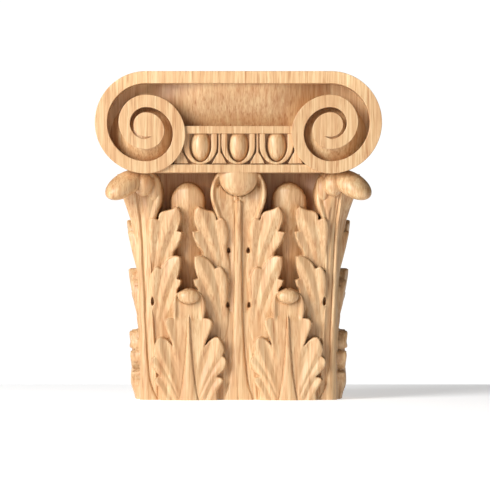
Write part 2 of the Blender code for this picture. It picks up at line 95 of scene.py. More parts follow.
# Bolsters: a drum that narrows to a waist, with a belt in the middle
DRUM_Z = HEIGHT - SCROLL_RADII[0]
DRUM_R = SCROLL_RADII[0] - 0.2
NECK_R = 33.4
WAIST_IN = 4.3
WAIST_FRONT = -21.0
WAIST_LONG = 25.0
BELT_MIDDLE = 8.5
BELT = ((4.0, 30.6), (4.5, 31.1), (BELT_MIDDLE, 31.4))
BACK_GAP = 0.05

# Frieze: fillets, eggs in rims, darts
FRIEZE_FRONT = -32.0
FRIEZE_HALF = 45.2
FRIEZE_Z = (160.0, 190.0)
FILLET_FRONT = -38.5
FILLETS = (("fillet_top", FRIEZE_HALF, 186.6, 5.2), ("fillet_low", 57.5, 159.4, 5.6))
PITCH = 26.5
EGG_Z = 178.2
EGG_HALF = (6.9, 7.2, 11.4)
STRIP_TOP = 188.0
RIM_FRONT = -37.6
RIM_OUTER = (11.8, 165.0, 14.0)
RIM_INNER = (7.7, 166.8, 11.6)
RIM_STEPS = 40
DART_FRONT = -36.4
DART = ((0.8, STRIP_TOP), (0.8, 173.5), (2.4, 171.2), (5.2, 165.6))

# Rolled heads of the corner leaves: out along the diagonal, up, and half sizes
ROLL_OUT = 11.6
ROLL_Z = 151.0
ROLL_HALF = (17.2, 11.0, 8.0)
ROLL_DROOP = 29.0
SCALLOPS = ((3.6, 5.0, 151.4, (7.0, 7.0, 8.4)), (-2.4, 6.2, 148.5, (5.2, 5.2, 9.5)))
BALL_COLUMNS = 72
BALL_ROWS = 48

# Outlines of half a leaf: out from its middle, up from the foot; a third value marks a sharp point
HEAD = ((0, 161), (13.5, 160), (17.0, 155.3), (19.2, 149), (19.4, 143), (18.1, 136.8), (15.9, 130.5),
        (13, 121), (11, 106), (10, 88), (10, 70), (12, 30), (14, -4), (0, -4))
UPPER = ((8.3, 106.1), (7.4, 113.2), (7.3, 118.5), (8.6, 124.3), (10.3, 127.2), (12.3, 127.9),
         (15.3, 126.5, 1), (16.1, 130.1), (18.1, 132.3), (23.0, 133.6), (28.0, 135.7, 1), (29.9, 133.6),
         (31.0, 129.7), (30.6, 124.7), (28.3, 118.7, 1), (32.3, 117.9, 1), (31.2, 113.2), (28.7, 107.9),
         (25.6, 103.4), (25, 88), (16, 76), (7, 80), (6, 95))
MIDDLE = ((7.9, 68.3), (7.6, 75.4), (7.6, 83.9), (9.3, 89.6), (12.5, 93.5), (16.4, 92.4, 1), (18.6, 96.0),
          (22.1, 99.5), (26.4, 101.3), (30.6, 100.6, 1), (30.8, 95.3), (29.9, 90.3), (28.1, 85.3, 1),
          (31.5, 84.3, 1), (30.6, 80.4), (28.5, 77.5), (27.5, 60), (22, 44), (12, 40), (7, 52))
LOWER = ((0, 77.8), (5, 76.9), (8.6, 74.4), (11.2, 69.4), (11.5, 63.8), (10.7, 57.9, 1), (14.8, 57.0),
         (16.6, 54.5), (16.0, 50.8), (13.8, 45.2), (11.3, 38.3, 1), (14.8, 42.1), (18.4, 44.3), (21.6, 43.3),
         (24.1, 38.3), (24.7, 35.2), (23.7, 31.2, 1), (26.2, 28.4), (26.0, 24.1), (23.5, 20.3),
         (19.7, 16.6, 1), (22.8, 15.7), (24.1, 14.1), (21.6, 9.7), (19.7, 5.4), (18.8, -3), (0, -3))

# Crests that run up the lobes of the sprays and of a lower leaf
UPPER_CRESTS = (((9.4, 92), (9.9, 114), (11.4, 128)),
                ((11.5, 84), (16.5, 106), (22.5, 123), (27.6, 136)),
                ((13.5, 84), (21, 98), (27, 109), (33, 118.5)))
MIDDLE_CRESTS = (((9.4, 56), (10.2, 80), (12.2, 94)),
                 ((11.5, 48), (16.5, 72), (22.5, 88), (29.5, 101)),
                 ((13, 46), (21, 63), (27, 75), (32, 84.8)))
LOWER_CRESTS = (((4.5, 24), (9.3, 37), (13.8, 49.6), (16.3, 57)),
                ((7, 4), (12.5, 17.4), (17.5, 28), (20.9, 37), (21.9, 44.5)),
                ((9, 2), (15, 14), (21, 22.6), (27, 27.8)),
                ((13, -4), (19, 8.5), (24.4, 14.6)))

# Pairs of height and value: how far the corner edge leans out, and how far a corner leaf's flanks stand
# beyond it on the side and in front
EDGE_LEAN = ((0, 0), (40, 0), (69, 0.5), (93, 1.3), (111, 1.9), (127, 2.8), (140, 4.5), (148, 6), (160, 5))
SIDE_FLANK = ((0, 0.4), (30, 1.0), (53, 1.5), (90, 2.3), (115, 2.9), (127, 3.8), (134, 5.0), (141, 7.2),
              (146, 7.5), (153, 3), (160, 0))
FRONT_FLANK = ((0, 0.4), (30, 1.2), (53, 1.7), (90, 2.3), (115, 2.8), (127, 2.9), (136, 2.6), (144, 0.6),
               (160, 0))
# Half widths of the midribs, which open out at the foot
TALL_RIB = ((0, 10.2), (3, 9.4), (8, 7.6), (17, 5.9), (33, 4.3), (50, 3.3), (66, 2.8), (94, 2.4), (140, 2.0))
CORNER_RIB = ((0, 10.5), (2, 9.8), (5, 8.2), (10, 6.0), (17, 4.4), (35, 3.0), (60, 2.0), (100, 1.4),
              (140, 1.3))
LOW_RIB = ((0, 6.4), (8, 4.8), (20, 3.2), (35, 1.8), (48, 0.9), (60, 0.3))
# Rise of each rib, and depth and width of the groove along it
TALL_RIB_FORM = (2.0, 1.0, 0.42)
CORNER_RIB_FORM = (1.4, 1.1, 0.42)
LOW_RIB_FORM = (1.9, 0.5, 0.40)
RIB_TOP = 139.0

# Radius of the eased edge of each kind of leaf
TALL_EDGE = 1.3
LOBE_EDGE = 1.2
WATER_EDGE = 2.4
# Crests: rise, and half width at the root and at the tip
SPRAY_CREST = (1.35, 2.6, 5.0)
LOW_CREST = (1.45, 2.8, 5.4)
# Drill holes beside the midribs: out from the leaf's middle, up, and how drawn out they are
UPPER_EYE = (6.9, 105.2, 1.0)
MIDDLE_EYE = (7.6, 66.8, 1.0)
CORNER_EYE = (8.9, 69.5, 1.5)
EYE_DEEP = 7.0
# Rolled tips: height of the middle, radius, level, bulge, flatness, depth of the crease under them
LOW_LIP = (72.8, 7.4, 11.6, 4.4, 0.66, 1.0)
MIDDLE_LIP = (156.7, 13.3, 14.8, 7.0, 1.0, 1.5)
# Notches beside the middle leaf's head: out, up, half width, half height, depth
NOTCH = (14.0, 152.2, 1.5, 2.4, 3.5)
# Cuts between the lobes of a side's lower leaf
SLITS = (31.0, 16.4)
SLIT_WIDE = 0.8
SLIT_DEEP = 3.4

# Depths below the body's face between which painted shade darkens the wood, standing in for shadow in the
# hollows
PAINTED_SHADE_START = 5.5
PAINTED_SHADE_FULL = 13.0

# Wood: colours, and noises as scale, stretch, detail and roughness; a layer that is white changes nothing
WHITE = (1.0, 1.0, 1.0)
BASE_NOISE = (290.0, (1.0, 0.8, 0.03), 3.0, 0.6)
BASE = ((0.34, (0.745, 0.475, 0.248)), (0.50, (0.825, 0.580, 0.322)), (0.64, (0.880, 0.670, 0.392)))
LATE_WOOD = (0.86, 0.78, 0.70)
RING_NOISE = (9.0, (1.0, 1.0, 0.22), 2.0, 0.45)
RING_BEND = 0.085
RING_SCALE = 66.0
RING_STRENGTH = 0.42
BELOW_TOP = (0.88, 0.855, 0.84)
# Painted shade: tint for the deep hollows and the sunk panel
PAINTED_SHADE_COLOUR = (0.66, 0.54, 0.43)
ROUGHNESS = 0.42
SHEEN = 0.5
BUMP_STRENGTH = 0.16
BUMP_METRES = 0.0004
# Pale zone in the top of the block, in metres
PALE_START = 0.209
PALE_FULL = 0.225
# Layers of grain: noise scale, stretch, detail and roughness as above, then strength, dark stop, place of
# the clear stop
GRAIN = {
    "tone": (11.0, (1.0, 1.0, 0.35), 3.0, 0.55, 0.85, (0.30, (0.86, 0.80, 0.76)), 0.70),
    "streak": (700.0, (1.0, 0.7, 0.035), 4.0, 0.62, 0.75, (0.32, (0.80, 0.68, 0.58)), 0.60),
    "pores": (1600.0, (1.0, 0.5, 0.028), 2.0, 0.5, 0.6, (0.36, (0.78, 0.62, 0.48)), 0.50),
    "flecks": (1100.0, (1.0, 0.5, 0.06), 1.0, 0.4, 0.55, (0.31, (0.64, 0.44, 0.30)), 0.40),
}

# Stage, in metres: floor, light and camera
FLOOR_X = 1.2
FLOOR_Y = (-1.1, 0.25)
FLOOR_GREY = 0.94
FLOOR_GLOW = 0.52
LIGHT_AT = (-1.08, -1.08, 0.66)
LIGHT_AIM = (0.0, 0.0, 0.12)
LIGHT_WIDE = 1.05
LIGHT_WATTS = 35.0
CAMERA_AT = (0.0046, FRONT * MM - 2.368, 0.1089)
SENSOR = 36.0
LENS = 250.0
# World light by direction: axis, where it starts and ends to change, strength before and after
FADES = (("Y", 0.9, 0.98, 0.0, 1.05), ("Z", 0.07, 0.12, 0.72, 0.035))


def smooth(points):
    """Closed outline through points; a third value marks a sharp one."""
    count = len(points)
    out = []
    for i in range(count):
        p0, p1, p2, p3 = (points[(i + k) % count] for k in (-1, 0, 1, 2))
        a, b, c, d = (np.array(p[:2], float) for p in (p0, p1, p2, p3))
        m1 = (b - c) * -0.5 if len(p1) > 2 else (c - a) * 0.5
        m2 = (c - b) * 0.5 if len(p2) > 2 else (d - b) * 0.5
        reach = np.linalg.norm(c - b)
        for m in (m1, m2):
            size = np.linalg.norm(m)
            if size > reach:
                m *= reach / size
        for t in (0.0, 0.25, 0.5, 0.75):
            h00, h10 = 2 * t ** 3 - 3 * t ** 2 + 1, t ** 3 - 2 * t ** 2 + t
            h01, h11 = -2 * t ** 3 + 3 * t ** 2, t ** 3 - t ** 2
            out.append(h00 * b + h10 * m1 + h01 * c + h11 * m2)
    return np.array(out)


OUTLINES = {name: smooth(points) for name, points in
            (("head", HEAD), ("upper", UPPER), ("middle", MIDDLE), ("lower", LOWER))}


def inside_by(outline, s, z, reach=9.0):
    """Distance into an outline, negative outside, for flat arrays; far outside reads -reach."""
    out = np.full(s.shape, -reach)
    low, high = outline.min(0) - reach, outline.max(0) + reach
    near = (s > low[0]) & (s < high[0]) & (z > low[1]) & (z < high[1])
    px, pz = s[near], z[near]
    best = np.full(px.shape, 1e9)
    odd = np.zeros(px.shape, bool)
    for a, b in zip(outline, np.roll(outline, -1, 0)):
        ab = b - a
        length = ab @ ab
        if length < 1e-12:
            continue
        t = np.clip(((px - a[0]) * ab[0] + (pz - a[1]) * ab[1]) / length, 0, 1)
        gap = (px - a[0] - t * ab[0]) ** 2 + (pz - a[1] - t * ab[1]) ** 2
        best = np.minimum(best, gap)
        if a[1] != b[1]:
            cross = (a[1] > pz) != (b[1] > pz)
            odd ^= cross & (px < a[0] + (pz - a[1]) * ab[0] / ab[1])
    best = np.sqrt(best)
    out[near] = np.where(odd, best, -best)
    return np.maximum(out, -reach)


def near_line(points, s, z):
    """Distance to a bent line, and share of the way along it."""
    points = np.array(points, float)
    best = np.full(s.shape, 1e9)
    along = np.zeros(s.shape)
    total = np.linalg.norm(np.diff(points, axis=0), axis=1)
    start = 0.0
    for a, b, length in zip(points, points[1:], total):
        ab = b - a
        t = np.clip(((s - a[0]) * ab[0] + (z - a[1]) * ab[1]) / length ** 2, 0, 1)
        gap = np.hypot(s - a[0] - t * ab[0], z - a[1] - t * ab[1])
        closer = gap < best
        best = np.where(closer, gap, best)
        along = np.where(closer, (start + t * length) / total.sum(), along)
        start += length
    return best, along


def step(x, low, high):
    """Smooth change from 0 at low to 1 at high; low may be the greater."""
    t = np.clip((x - low) / (high - low), 0, 1)
    return t * t * (3 - 2 * t)


def hump(x, middle, width):
    """Smooth hump of height 1."""
    return np.exp(-((x - middle) / width) ** 2)


def along_height(z, pairs):
    """Value read off a short list of (height, value), joined by straight runs."""
    return np.interp(z, [pair[0] for pair in pairs], [pair[1] for pair in pairs])


def eased(depth, radius):
    """Height lost near an edge, a quarter round of the radius."""
    t = np.clip(1 - depth / radius, 0, 1)
    return radius * (1 - np.sqrt(np.maximum(0, 1 - t * t)))


def lay(height, level, depth, radius):
    """Lay a sheet over the relief: its level inside an outline, a steep wall at the edge."""
    sheet = level - eased(np.maximum(depth, 0), radius)
    sheet = np.where(depth < 0, sheet + depth * 40, sheet)
    return np.maximum(height, sheet)


def rib_level(s, half, rise, groove, width):
    """Rounded rib with a narrow groove along its edge."""
    crown = np.where(s < half, rise * np.sqrt(np.maximum(0, 1 - (s / half) ** 2 * 0.75)), 0)
    return crown - groove * hump(s - half, 0.15, width)


def leaf_head(s, z, wide):
    """Depth inside a tall leaf's outline, the curl of its tip towards the rim, and the rim's raised edge."""
    depth = inside_by(OUTLINES["head"], s / wide, z) * wide
    rim = step(z, 108, 136)
    curl = rim * 4.4 * np.clip(s / wide / 18.5, 0, 1.1) ** 2.2
    edge = rim * 1.3 * hump(depth, 1.8, 1.2) - rim * 0.5 * hump(depth, 3.9, 0.7)
    return depth, curl, edge


def middle_leaf(height, s, z):
    """Tall leaf whose middle is s = 0; s is never negative."""
    depth, curl, edge = leaf_head(s, z, 1.0)
    half = along_height(z, TALL_RIB)
    lean = 7.2 * np.clip((z - 78) / 63, 0, 1.0) ** 2.1 + 6.0 * step(z, 149, LEAF_TOP)
    dish = -1.3 * np.sin(np.clip((s - half) / 9, 0, 1) * math.pi) * step(z, 134, 112) * step(z, 30, 60)
    level = lean + curl + edge + dish
    level = level + rib_level(s, half, *TALL_RIB_FORM) * step(z, RIB_TOP + 1.9, RIB_TOP + 0.4)
    # groove over the top end of the rib
    arch = np.hypot(s, np.maximum(0, z - RIB_TOP))
    level = level - 1.2 * hump(arch - half, 0.15, 0.5) * (z > RIB_TOP - 0.4)
    # flutes that stream from the sprays to the foot
    for out, deep in ((6.6, 0.7), (10.0, 0.8)):
        bow = out + np.clip(40 - z, 0, 40) * 0.11
        level = level - deep * hump(s, bow, 0.75) * step(z, 74, 60)
    return lay(height, level, depth, TALL_EDGE)


def corner_leaf(height, s, z, flank):
    """Tall leaf that wraps the corner, with flanks that stand beyond its edge."""
    depth, curl, edge = leaf_head(s, z, 0.74 + 0.085 * step(z, 105, 141))
    half = along_height(z, CORNER_RIB)
    level = flank * step(s, half - 0.3, half + 5.5) + curl * 0.4 + edge
    level = level + rib_level(s, half, *CORNER_RIB_FORM)
    # ridge and two flutes beside the rib
    level = level + 1.0 * hump(s - half, 5.2, 1.3) * step(z, 70, 58)
    level = level - 0.8 * hump(s - half, 8.3, 0.9) * step(z, 100, 70)
    level = level - 0.9 * hump(s, 5.6, 1.1) * step(z, 62, 84) * step(z, 142, 128)
    return lay(height, level, depth, TALL_EDGE)


def crests(s, z, lines, near, far):
    """Roof-like ridges along bent lines, 1 on a crest and 0 a given width away from it."""
    best = np.zeros(s.shape)
    for line in lines:
        gap, along = near_line(line, s, z)
        share = gap / (near + (far - near) * along)
        best = np.maximum(best, 1.12 - np.sqrt(share ** 2 + 0.0144))
    return np.clip(best, 0, 1)


def spray(height, s, z, name, base, top, tip_level, lines):
    """Lobed side growth of a tall leaf, rising from its base to its tips."""
    depth = inside_by(OUTLINES[name], s, z)
    rise = step(z, base, top) * (0.46 + 0.54 * np.clip(s / 28, 0, 1.1))
    crest, near, far = SPRAY_CREST
    level = 0.3 + tip_level * rise
    level = level + crest * crests(s, z, lines, near, far) * step(z, base - 6, base + 26)
    return lay(height, level, depth, LOBE_EDGE)


def eye(height, s, z, out, up, tall):
    """Tear-shaped drill hole."""
    wide = 1.15 * (1 - 0.35 * np.clip((z - up) / (3.5 * tall), -1, 1))
    gap = np.hypot((s - out) / wide, (z - up) / (1.9 * tall))
    return height - EYE_DEEP * step(gap, 1.15, 0.75)


def leaf_sprays(height, s, z, corner=False):
    """Both tiers of sprays of a tall leaf, with their eyes."""
    height = spray(height, s, z, "upper", 88, 134, 9.4, UPPER_CRESTS)
    if not corner:
        height = eye(height, s, z, *UPPER_EYE)
    height = spray(height, s, z, "middle", 50, 100, 8.0, MIDDLE_CRESTS)
    return eye(height, s, z, *(CORNER_EYE if corner else MIDDLE_EYE))


def lip(height, s, z, centre, radius, level, bulge, flat, crease):
    """Rolled tip: a ball seen from the front, with a crease under it."""
    gap = np.hypot(s, (z - centre) / flat) / radius
    height = height - crease * hump((gap - 1) * radius * flat, 0, 0.6) * (gap > 1) * (z < centre)
    ball_level = level + bulge * np.sqrt(np.maximum(0, 1 - gap ** 2))
    return np.where(gap < 1, np.maximum(height, ball_level), height)


def lower_leaf(height, s, z):
    """Leaf of the low row, with four lobes on each half under a rolled tip."""
    depth = inside_by(OUTLINES["lower"], s, z)
    level = 5.2 + 4.8 * step(z, 20, 76)
    level = level + 1.4 * np.cos(np.clip(s / 13, 0, 1.3) * 1.2)
    level = level + step(s, 8, 22) * 1.6 * step(z, -4, 40)
    crest, near, far = LOW_CREST
    level = level + crest * crests(s, z, LOWER_CRESTS, near, far) * step(s, 4, 13)
    level = level - step(z, 54, 62) * 2.2 * step(s, 9.6, 7.0)
    level = level + rib_level(s, along_height(z, LOW_RIB), *LOW_RIB_FORM) * step(z, 61, 57)
    height = lay(height, level, depth, LOBE_EDGE)
    return lip(height, s, z, *LOW_LIP)


def side_lower_leaf(height, s, z):
    """Lower leaf of a side: a little higher, with a flatter head and deeper cuts between the lobes."""
    leaf_z = z - LOW_RISE * step(z, 0, 14)
    leaf = lower_leaf(height, s, leaf_z)
    lobes = step(s, 12.5, 15.5)
    held = 1 - (1 - lobes) * (0.15 * step(z, 14, 30) + 0.57 * step(leaf_z, 30, 46))
    held = held - lobes * (0.55 * step(leaf_z, 44.8, 46) + 0.12 * step(leaf_z, 33, 37))
    held = held - 0.35 * step(z, 12, 0)
    slits = sum(hump(leaf_z, up, SLIT_WIDE) for up in SLITS)
    flatter = leaf * held - SLIT_DEEP * slits * step(s, 12, 19)
    return np.maximum(height, np.where(leaf > height, flatter, height))


def water_leaf(height, s, z):
    """Plain round-topped leaf that stands back between the tall ones."""
    top, half, arch = 152.6, 11.6, 13.5
    gap = np.hypot(s, np.maximum(0, z - (top - arch)) * (half / arch))
    level = -10.5 - 2.5 * step(z, 108, 84) + 3.2 * np.sqrt(np.clip(1 - (s / 12.2) ** 2, 0, 1))
    level = level + 8.5 * step(z, 104, 147) - 4.5 * step(z, 147, 156)
    level = level + 2.3 * np.clip(1 - s / 9.0, 0, 1)
    return lay(height, level, half - gap, WATER_EDGE)


def relief(u, z):
    """Height of the carving off the body face, at a place along the half girth."""
    side = u > CORNER
    across = np.where(side, 2 * CORNER - u, u)
    height = -8.5 - 5.5 * step(z, 70, 100)
    height = water_leaf(height, np.abs(across - WATER_X), z)
    # blades fill the foot all the way round
    height = np.maximum(height, -0.4 - 12 * step(z, 60, 78))
    height = middle_leaf(height, across, z)
    flank = np.where(side, along_height(z, SIDE_FLANK), along_height(z, FRONT_FLANK))
    height = corner_leaf(height, CORNER - across, z, flank)
    # sprays sit lower on the sides
    spray_z = z + np.where(side, SPRAY_DROP, 0.0)
    height = leaf_sprays(height, across, spray_z)
    corner_s = (CORNER - across + CORNER_SPRAY_SHIFT) / CORNER_SPRAY_SCALE
    height = leaf_sprays(height, corner_s, spray_z, True)
    low_s = np.abs(across - LOW_X)
    height = np.where(side, side_lower_leaf(height, low_s, z), lower_leaf(height, low_s, z))
    # rolled head of the middle leaf, with a notch on either side
    out, up, wide, tall, deep = NOTCH
    height = height - deep * np.exp(-((across - out) / wide) ** 2 - ((z - up) / tall) ** 2)
    return lip(height, across, z, *MIDDLE_LIP)


def wall_point(u, z, height):
    """Place in space of a point on the half girth."""
    angle = np.clip((u - FLAT) / ROUND, 0, math.pi / 2)
    along = np.maximum(0, u - ARC_END)
    nx, ny = -np.sin(angle), -np.cos(angle)
    out = along_height(z, EDGE_LEAN) * (1 - step(np.abs(u - CORNER), 7, 24))
    x = -np.minimum(u, FLAT) + nx * ROUND + nx * height - out
    y = BODY_FRONT + ROUND + ny * ROUND + ny * height + along - out
    return x, y


def value(node, name, number):
    node.inputs[name].default_value = number


def wood_material():
    """Pale straight-grained timber: fine upright streaks, weak rings, pores and short dark flecks, with
    painted shade in the hollows and lighter towards the top of the block.
    """
    material = bpy.data.materials.new("carved_wood")
    material.use_nodes = True
    tree = material.node_tree
    nodes, links = tree.nodes, tree.links
    nodes.clear()
    out = nodes.new("ShaderNodeOutputMaterial")
    shade = nodes.new("ShaderNodeBsdfPrincipled")
    place = nodes.new("ShaderNodeTexCoord")

    def noise(scale, stretch, detail, rough):
        squeeze = nodes.new("ShaderNodeMapping")
        value(squeeze, "Scale", stretch)
        links.new(place.outputs["Object"], squeeze.inputs["Vector"])
        cloud = nodes.new("ShaderNodeTexNoise")
        value(cloud, "Scale", scale)
        value(cloud, "Detail", detail)
        value(cloud, "Roughness", rough)
        links.new(squeeze.outputs["Vector"], cloud.inputs["Vector"])
        return cloud

    def ramp(source, stops):
        node = nodes.new("ShaderNodeValToRGB")
        while len(node.color_ramp.elements) < len(stops):
            node.color_ramp.elements.new(0.5)
        for element, (at, colour) in zip(node.color_ramp.elements, stops):
            element.position = at
            element.color = (*colour, 1.0)
        links.new(source, node.inputs["Fac"])
        return node.outputs["Color"]

    def multiply(amount, first, second):
        node = nodes.new("ShaderNodeMix")
        node.data_type = "RGBA"
        node.blend_type = "MULTIPLY"
        value(node, "Factor", amount)
        links.new(first, node.inputs["A"])
        links.new(second, node.inputs["B"])
        return node.outputs["Result"]

    # growth rings: upright sheets across X, bent slowly along the height
    bend = noise(*RING_NOISE)
    shift = nodes.new("ShaderNodeVectorMath")
    shift.operation = "MULTIPLY_ADD"
    shift.inputs[1].default_value = (RING_BEND, RING_BEND, 0.0)
    links.new(bend.outputs["Color"], shift.inputs[0])
    links.new(place.outputs["Object"], shift.inputs[2])
    rings = nodes.new("ShaderNodeTexWave")
    rings.wave_type = "BANDS"
    rings.bands_direction = "X"
    value(rings, "Scale", RING_SCALE)
    links.new(shift.outputs[0], rings.inputs["Vector"])
    growth = ramp(rings.outputs["Fac"], ((0.0, LATE_WOOD), (0.45, WHITE)))
    base = ramp(noise(*BASE_NOISE).outputs["Fac"], BASE)
    colour = multiply(RING_STRENGTH, base, growth)

    layers = {}
    for name, (scale, stretch, detail, rough, strength, dark, clear) in GRAIN.items():
        layers[name] = ramp(noise(scale, stretch, detail, rough).outputs["Fac"], (dark, (clear, WHITE)))
        colour = multiply(strength, colour, layers[name])

    # lighter colour towards the top of the block
    split = nodes.new("ShaderNodeSeparateXYZ")
    links.new(place.outputs["Object"], split.inputs[0])
    height = nodes.new("ShaderNodeMapRange")
    height.interpolation_type = "SMOOTHSTEP"
    value(height, "From Min", PALE_START)
    value(height, "From Max", PALE_FULL)
    links.new(split.outputs["Z"], height.inputs["Value"])
    colour = multiply(1.0, colour, ramp(height.outputs[0], ((0.0, BELOW_TOP), (1.0, WHITE))))

    # painted shade: darker where the per-point attribute marks deep hollows, in place of their shadow
    deep = nodes.new("ShaderNodeAttribute")
    deep.attribute_name = "painted_shade"
    colour = multiply(1.0, colour, ramp(deep.outputs["Fac"], ((0.0, WHITE), (1.0, PAINTED_SHADE_COLOUR))))

    links.new(colour, shade.inputs["Base Color"])
    value(shade, "Roughness", ROUGHNESS)
    value(shade, "Specular IOR Level", SHEEN)
    bump = nodes.new("ShaderNodeBump")
    value(bump, "Strength", BUMP_STRENGTH)
    value(bump, "Distance", BUMP_METRES)
    links.new(layers["streak"], bump.inputs["Height"])
    links.new(bump.outputs["Normal"], shade.inputs["Normal"])
    links.new(shade.outputs["BSDF"], out.inputs["Surface"])
    return material


def add_piece(name, mesh):
    """Put a finished mesh in the scene as a piece of carved wood on the body."""
    item = bpy.data.objects.new(name, mesh)
    bpy.context.scene.collection.objects.link(item)
    mesh.materials.append(wood)
    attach(item, "root")
    return item


def mesh_piece(name, points, faces, smooth_angle=None, painted_shade=None):
    """Piece from points and four-sided faces; the last argument gives how much painted shade darkens the wood
    at each point.
    """
    mesh = bpy.data.meshes.new(name)
    mesh.vertices.add(len(points))
    mesh.vertices.foreach_set("co", (np.asarray(points, np.float64) * MM).ravel())
    mesh.loops.add(faces.size)
    mesh.loops.foreach_set("vertex_index", faces.ravel())
    mesh.polygons.add(len(faces))
    mesh.polygons.foreach_set("loop_start", np.arange(len(faces)) * faces.shape[1])
    mesh.update(calc_edges=True)
    mesh.validate()
    if painted_shade is not None:
        shades = mesh.attributes.new("painted_shade", "FLOAT", "POINT")
        shades.data.foreach_set("value", painted_shade.astype(np.float32))
    mesh.shade_smooth()
    if smooth_angle:
        mesh.set_sharp_from_angle(angle=math.radians(smooth_angle))
    return add_piece(name, mesh)


def grid_faces(columns, rows, flip=False):
    index = np.arange(columns * rows).reshape(rows, columns)
    a, b, c, d = index[:-1, :-1], index[:-1, 1:], index[1:, 1:], index[1:, :-1]
    order = (a, d, c, b) if flip else (a, b, c, d)
    return np.stack([part.ravel() for part in order], 1)


def ring_faces(rings, steps, flip=False):
    """Faces between rings of points that close on themselves."""
    index = np.arange(rings * steps).reshape(rings, steps)
    after = np.roll(index, -1, 1)
    a, b, c, d = index[:-1], after[:-1], after[1:], index[1:]
    order = (a, d, c, b) if flip else (a, b, c, d)
    return np.stack([part.ravel() for part in order], 1)


def plate(name, outline, front, back, ease):
    """Outline in the XZ plane with depth along Y and slightly eased edges."""
    curve = bpy.data.curves.new(name, "CURVE")
    curve.dimensions = "2D"
    curve.fill_mode = "BOTH"
    curve.extrude = ((back - front) / 2 - ease) * MM
    curve.bevel_depth = ease * MM
    curve.bevel_resolution = 2
    curve.offset = -ease * MM
    line = curve.splines.new("POLY")
    line.points.add(len(outline) - 1)
    for point, (x, z) in zip(line.points, outline):
        point.co = (x * MM, z * MM, 0.0, 1.0)
    line.use_cyclic_u = True
    holder = bpy.data.objects.new(name, curve)
    bpy.context.scene.collection.objects.link(holder)
    bpy.context.view_layer.update()
    seen = holder.evaluated_get(bpy.context.evaluated_depsgraph_get())
    mesh = bpy.data.meshes.new_from_object(seen)
    bpy.data.objects.remove(holder, do_unlink=True)
    middle = Matrix.Translation((0, (front + back) / 2 * MM, 0))
    mesh.transform(middle @ Matrix.Rotation(math.pi / 2, 4, "X"))
    mesh.shade_smooth()
    mesh.set_sharp_from_angle(angle=math.radians(32))
    mesh.materials.clear()
    return add_piece(name, mesh)


def box(name, low, high, ease=0.0):
    (x0, y0, z0), (x1, y1, z1) = low, high
    return plate(name, [(x0, z0), (x1, z0), (x1, z1), (x0, z1)], y0, y1, ease)


def lathe(name, profile, centre, angle):
    """Profile of (y, radius) turned about a line parallel to Y."""
    profile = np.array(profile, float)
    turn = np.linspace(0, 2 * math.pi, TURN_STEPS, endpoint=False)
    y = np.repeat(profile[:, 0], TURN_STEPS)
    r = np.repeat(profile[:, 1], TURN_STEPS)
    a = np.tile(turn, len(profile))
    points = np.stack([centre[0] + r * np.cos(a), y, centre[1] + r * np.sin(a)], 1)
    return mesh_piece(name, points, ring_faces(len(profile), TURN_STEPS), angle)


def ball(name, centre, half, turn_deg=0.0, droop_deg=0.0):
    """Stretched ball, tipped down along its own X, then turned about Z."""
    theta = np.linspace(0, math.pi, BALL_ROWS)
    phi = np.linspace(0, 2 * math.pi, BALL_COLUMNS, endpoint=False)
    t, p = (grid.ravel() for grid in np.meshgrid(theta, phi, indexing="ij"))
    x, y, z = half[0] * np.sin(t) * np.cos(p), half[1] * np.sin(t) * np.sin(p), half[2] * np.cos(t)
    tip, turn = math.radians(droop_deg), math.radians(turn_deg)
    x, z = x * math.cos(tip) + z * math.sin(tip), z * math.cos(tip) - x * math.sin(tip)
    x, y = x * math.cos(turn) - y * math.sin(turn), x * math.sin(turn) + y * math.cos(turn)
    points = np.stack([x, y, z], 1) + np.array(centre, float)
    return mesh_piece(name, points, ring_faces(BALL_ROWS, BALL_COLUMNS, True))


def arc(centre, radius, start, end):
    steps = max(20, int(radius * ARC_STEPS_PER_MM))
    angles = np.radians(start + (end - start) * (np.arange(steps) + 1) / steps)
    return [(centre[0] + radius * math.cos(a), centre[1] + radius * math.sin(a)) for a in angles]


def spiral(x, top, radii):
    """Half circles that start at the top, run out over -X, then back and forth to the middle."""
    points = [(x, top)]
    for count, radius in enumerate(radii):
        down = count % 2 == 0
        centre = (x, top - radius if down else top + radius)
        start, end = (90, 270) if down else (-90, 90)
        points += arc(centre, radius, start, end)
        top = top - 2 * radius if down else top + 2 * radius
    return points


def carved_walls():
    """Leaf zone as four strips a side: two in front, the corner and the side."""
    rows = int(LEAF_TOP / CELL) + 1
    z_line = np.linspace(0, LEAF_TOP, rows)
    for part, (low, high) in enumerate(zip(STRIPS, STRIPS[1:])):
        fine = CELL * (CORNER_CELL if part == CORNER_STRIP else 1.0)
        u_line = np.linspace(low, high, int((high - low) / fine) + 2)
        u, z = (grid.ravel() for grid in np.meshgrid(u_line, z_line))
        height = relief(u, z)
        x, y = wall_point(u, z, height)
        x = np.clip(x, -SIDE_LIMIT, SIDE_LIMIT)
        y = np.clip(y, FRONT_LIMIT, BACK)
        # painted shade: the deeper the relief lies below the body's face, the darker the wood, as if in
        # shadow
        painted_shade = step(-height, PAINTED_SHADE_START, PAINTED_SHADE_FULL)
        for side, word in ((1, "left"), (-1, "right")):
            points = np.stack([x * side, y, z], 1)
            faces = grid_faces(len(u_line), rows, side > 0)
            yield mesh_piece(f"leaves_{part}_{word}", points, faces, painted_shade=painted_shade)


def back_sheet():
    """Flat back, as wide at each height as the carved sides that end on it."""
    z = np.linspace(0, LEAF_TOP - 0.7, int(LEAF_TOP / CELL) + 1)
    u = np.full(z.shape, GIRTH_END)
    x = wall_point(u, z, relief(u, z))[0]
    points = np.stack([np.stack([x, -x], 1), np.full((len(z), 2), BACK), np.stack([z, z], 1)], -1)
    mesh_piece("back", points.reshape(-1, 3), grid_faces(2, len(z), True))


